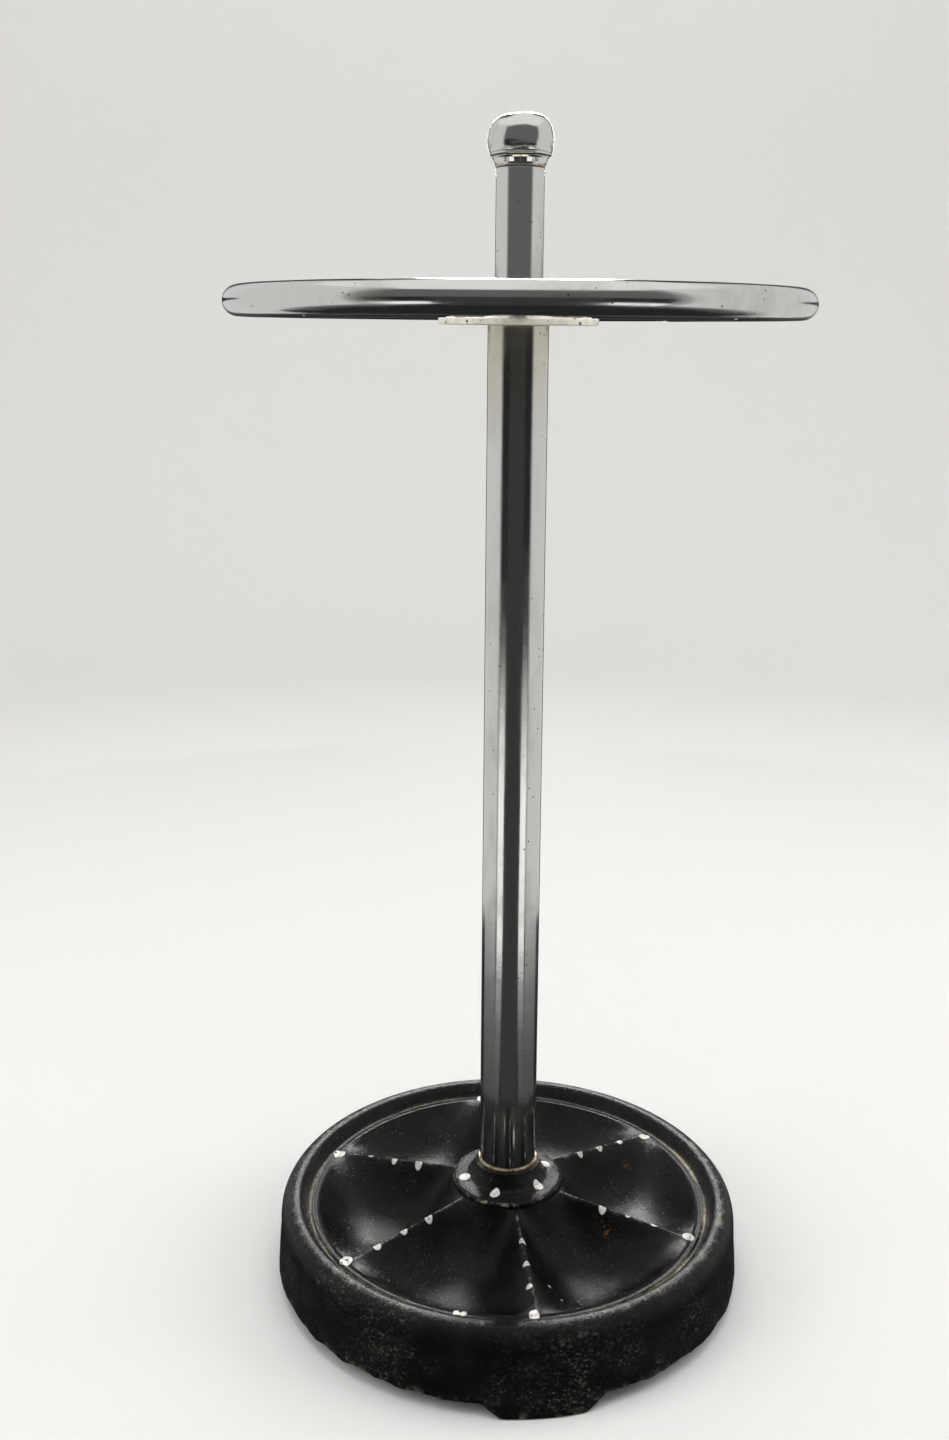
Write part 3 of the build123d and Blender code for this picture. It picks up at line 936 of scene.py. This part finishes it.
def weld_beads(material):
    """Weld metal round the spokes' ends, beside them on the disc and at the collar's foot."""
    draw = random.Random(3)
    points = []
    faces = []
    spoke_radius = (high("ring_spoke_1").z - low("ring_spoke_1").z) / 2
    spoke_height = low("ring_spoke_1").z + spoke_radius
    for spoke in range(SPOKES):
        heading = math.radians(FIRST_SPOKE_DEGREES + 360 // SPOKES * spoke)
        outward = Vector((math.cos(heading), math.sin(heading), 0))
        across = Vector((-outward.y, outward.x, 0))

        def place(radius, side, height):
            """A point by its distance out along the spoke, to its side, and above the floor."""
            return outward * radius + across * side + Vector((0, 0, height))

        for step in range(13):
            turn = math.radians(-35 + 250 * step / 12)
            side = (spoke_radius + 0.1) * math.cos(turn)
            height = spoke_height + (spoke_radius + 0.1) * math.sin(turn)
            reach = math.sqrt(ring_tube_radius**2 - (height - ring_height) ** 2)
            outer_end = place(ring_radius - reach, side, height)
            blob(points, faces, outer_end, draw.uniform(0.9, 1.25), step)
            inner_end = place(math.sqrt(collar_radius**2 - side**2), side, height)
            blob(points, faces, inner_end, draw.uniform(0.9, 1.25), step + 20)
        for side in (-spoke_radius - 0.3, spoke_radius + 0.3):
            for step in range(4):
                radius = disc_radius - 0.9 - 1.3 * step
                beside = place(radius, side, disc_top + 0.1)
                blob(points, faces, beside, draw.uniform(0.8, 1.3), step + 40)
    bead_radius = collar_radius + 0.2
    bead_count = 60
    for step in range(bead_count):
        turn = 2 * math.pi * step / bead_count
        spot = bead_radius * math.cos(turn), bead_radius * math.sin(turn), disc_top + 0.2
        blob(points, faces, spot, draw.uniform(0.8, 1.1), step + 60)
    made = new_object("weld_beads", points, faces, material, 80)
    settle(made, "stand", "dull_plate", "ring_welds")


# ---------------------------------------------------------------- fasteners


def hexagon_nut(name, node, material):
    """Hexagon nut with turned chamfers at both faces."""
    bottom, top = low(node).z, high(node).z
    corner = high(node).x
    bore = rod_radius + inset
    countersink = 0.6
    count = 48
    outside = [(bottom, 0.93), (bottom + 0.9, 1.0), (top - 0.9, 1.0), (top, 0.93)]
    inside = [
        (top, bore + countersink), (top - countersink, bore),
        (bottom + countersink, bore), (bottom, bore + countersink),
    ]
    points = []
    for height, share in outside:
        for step in range(count):
            angle = 2 * math.pi * step / count
            flat = (angle % (math.pi / 3)) - math.pi / 6
            hexagon = corner * math.cos(math.pi / 6) / math.cos(flat)
            reach = min(hexagon, corner * share)
            points.append((reach * math.cos(angle), reach * math.sin(angle), height))
    for height, radius in inside:
        for step in range(count):
            angle = 2 * math.pi * step / count
            points.append((radius * math.cos(angle), radius * math.sin(angle), height))
    rings = len(outside) + len(inside)
    faces = []
    for ring in range(rings):
        other = (ring + 1) % rings
        for step in range(count):
            following = (step + 1) % count
            corners = (ring, step), (ring, following), (other, following), (other, step)
            faces.append(tuple(r * count + s for r, s in corners))
    made = new_object(name, points, faces, material, 25)
    settle(made, "stand", "plain_steel", node)


def threaded_rod(material):
    """Tie rod with cut threads at both ends, where the nuts and the finial screw on."""
    bottom, top = low("tie_rod").z, high("tie_rod").z
    point_radius = rod_radius - 1.2

    def thread(start, turns):
        """Ridges and grooves of the thread from a height upwards."""
        line = []
        for turn in range(turns):
            foot = start + turn * thread_pitch
            line.append((rod_radius - thread_depth, foot))
            line.append((rod_radius, foot + 0.45 * thread_pitch))
            line.append((rod_radius, foot + 0.6 * thread_pitch))
        return line

    lower_start = bottom + 0.8
    lower_turns = int(thread_length / thread_pitch)
    upper_turns = int((top - finial_collar_top) / thread_pitch) - 1
    outline = [(0.0, bottom), (point_radius, bottom), *thread(lower_start, lower_turns)]
    outline += [(rod_radius, lower_start + thread_length + 1), (rod_radius, finial_collar_top)]
    outline += [*thread(finial_collar_top + 0.3, upper_turns), (point_radius, top), (0.0, top)]
    made = turned("tie_rod_thread", outline, material, 64, False)
    settle(made, "stand", "plain_steel", "tie_rod")


def round_washer(material):
    """Flat washer under the hub, with softened edges."""
    bottom, top = low("base_washer").z, high("base_washer").z
    outline = rounded(pipe(high("base_washer").x, rod_bore, bottom, top), 0.5)
    settle(turned("washer", outline, material, 96), "stand", "plain_steel", "base_washer")


# ---------------------------------------------------------------- stage, lights and camera


def stage_object(name, points, faces, material):
    """A mesh that belongs to the studio and not to the object."""
    made = new_object(name, points, faces, material)
    return made


def studio_bowl():
    """Round pale floor that curves up into a wall all round."""
    outline = [(0.0, 0.0)] + [(radius, 0.0) for radius in (400, 900, 1500)]
    for step in range(1, 13):
        turn = math.radians(90 * step / 12)
        outline.append((1500 + 900 * math.sin(turn), 900 - 900 * math.cos(turn)))
    outline += [(2400, 2200), (2400, 3600)]
    made = turned("studio_bowl", outline, backdrop_paint(), 96, False)
    made.visible_glossy = False


def only_in_gloss(card):
    """Shows a card in reflections and nowhere else."""
    card.visible_camera = False
    card.visible_diffuse = False
    card.visible_transmission = False
    card.visible_shadow = False
    card.visible_volume_scatter = False


def side_card(name, start, end, bottom, top, strength, distance=1100):
    """Upright curved reflector between two compass angles, seen only in gloss."""
    points = []
    steps = 24
    for step in range(steps + 1):
        angle = math.radians(start + (end - start) * step / steps)
        for height in (bottom, top):
            points.append((distance * math.cos(angle), distance * math.sin(angle), height))
    faces = [(2 * s, 2 * s + 2, 2 * s + 3, 2 * s + 1) for s in range(steps)]
    only_in_gloss(stage_object(name, points, faces, card_light(name, strength)))


def flat_card(name, centre, half_x, half_y, strength):
    """Level reflector facing up and down, seen only in gloss."""
    x, y, z = centre
    corners = (-1, -1), (1, -1), (1, 1), (-1, 1)
    points = [(x + side * half_x, y + end * half_y, z) for side, end in corners]
    only_in_gloss(stage_object(name, points, [(0, 1, 2, 3)], card_light(name, strength)))


def area_light(name, place, target, size, power):
    """Soft square lamp aimed at a point; places in metres."""
    lamp = bpy.data.lights.new(name, "AREA")
    lamp.size = size
    lamp.energy = power
    made = bpy.data.objects.new(name, lamp)
    made.location = place
    made.rotation_euler = (Vector(target) - Vector(place)).to_track_quat("-Z", "Y").to_euler()
    made.visible_camera = False
    made.visible_glossy = False
    bpy.context.collection.objects.link(made)


def studio_lights():
    """Reflectors that the chrome and the enamel show, lamps that light everything, and a dim world.

    The reflectors stand round the object at angles from the camera's direction. They give the tubes
    a light band on either side, a brighter streak inside each band halfway down, and a dark foot.
    """
    toward_camera = math.degrees(math.atan2(CAMERA_PLACE.y, CAMERA_PLACE.x))
    bright, half = 0.66, 0.34
    # Each part of a side as (name, first and last angle, bottom, top, strength)
    side_parts = (
        ("side", 62, 125, -230, 1700, bright),
        ("side_fade", 62, 125, -310, -230, half),
        ("side_foot", 62, 125, -400, -310, 0.16),
        ("side_low", 40, 125, -640, -400, 0.09),
        ("edge_upper", 125, 153, 600, 1700, bright),
        ("edge_lower", 125, 153, -230, 540, bright),
        ("far", 153, 173, -640, 1700, 0.06),
        ("inner_fade", 56, 62, -230, 1700, half),
        ("streak", 32, 56, -290, 50, 1.1),
        ("streak_top", 34, 54, 50, 130, half),
        ("streak_foot", 34, 60, -390, -290, 0.24),
    )
    for name, side in (("right", 1), ("left", -1)):
        for part, start, end, bottom, top, strength in side_parts:
            first, last = sorted((toward_camera + side * start, toward_camera + side * end))
            side_card(f"card_{part}_{name}", first, last, bottom, top, strength)

    # Each middle part as (name, middle and half angle, bottom, top, strength, distance)
    middle_parts = (
        ("back", 180, 28, 760, 1650, 38.0, 1500),
        ("front", 0, 56, 560, 1500, 0.13, 1100),
        ("front_low", 0, 30, -640, 560, 0.045, 1100),
    )
    for part, middle, reach, bottom, top, strength, distance in middle_parts:
        start, end = toward_camera + middle - reach, toward_camera + middle + reach
        side_card(f"card_{part}", start, end, bottom, top, strength, distance)
    flat_card("card_above", (0, 0, 1710), 1300, 1600, 0.85)

    area_light("lamp_above", (0, -0.2, 2.1), (0, 0, 0.2), 2.0, 34)
    area_light("lamp_wall", (0.1, 0.7, 2.7), (0.2, 2.4, 0.9), 1.5, 22)
    area_light("lamp_left", (-1.5, -0.4, 1.2), (0, 0, 0.3), 1.2, 14)
    area_light("lamp_right", (1.5, -0.2, 1.2), (0, 0, 0.3), 1.2, 14)
    world = bpy.data.worlds.new("studio")
    world.use_nodes = True
    world.node_tree.nodes["Background"].inputs["Color"].default_value = (0.020, 0.021, 0.024, 1)
    bpy.context.scene.world = world


def make_camera():
    """Camera at the viewing angle, rolled very slightly, its frame shifted down."""
    data = bpy.data.cameras.new("camera")
    data.lens = 37.126
    data.sensor_width = 36.0
    data.shift_y = -0.0798
    heading, down, roll = CAMERA_HEADING, CAMERA_DOWN, CAMERA_ROLL
    ahead_x, ahead_y = math.sin(heading), math.cos(heading)
    forward = Vector((ahead_x * math.cos(down), ahead_y * math.cos(down), -math.sin(down)))
    level = Vector((math.cos(heading), -math.sin(heading), 0))
    upward = level.cross(forward)
    right = level * math.cos(roll) + upward * math.sin(roll)
    top = upward * math.cos(roll) - level * math.sin(roll)
    turn = Matrix((right, top, -forward)).transposed()
    made = bpy.data.objects.new("camera", data)
    made.matrix_world = Matrix.Translation(CAMERA_PLACE) @ turn.to_4x4()
    bpy.context.collection.objects.link(made)
    bpy.context.scene.camera = made


# ---------------------------------------------------------------- build


def paint_cad_nodes(finishes, ring_chrome):
    """Materials of the CAD nodes, most of which a piece replaces."""
    for part in frame["record"]["subparts"]:
        shown = frame["nodes"][part["node"]]
        shown.data.materials.clear()
        shown.data.materials.append(finishes.get(part["material_slot"], finishes["plain_steel"]))
    for spoke in range(SPOKES):
        frame["nodes"][f"ring_spoke_{spoke + 1}"].data.materials[0] = ring_chrome


make_camera()
enamel = cast_enamel()
steel = plain_steel()
dull = dull_plate()
brass = tarnished_brass()
ring_chrome = aged_chrome("ring_chrome", 0.14, 0.12)

base_body(enamel)
paint_chips(bare_iron())
pole_pieces(brass)
finial_ball()
ring_skin(ring_chrome)
ring_hub(dull)
weld_beads(dull)
hexagon_nut("nut_below", "base_nut", steel)
hexagon_nut("nut_above", "top_clamp_nut", steel)
threaded_rod(steel)
round_washer(steel)
finishes = {
    "dull_plate": dull,
    "plain_steel": steel,
    "tarnished_brass": brass,
    "black_enamel": enamel,
}
paint_cad_nodes(finishes, ring_chrome)

studio_bowl()
studio_lights()
bpy.context.scene.view_settings.view_transform = "Standard"
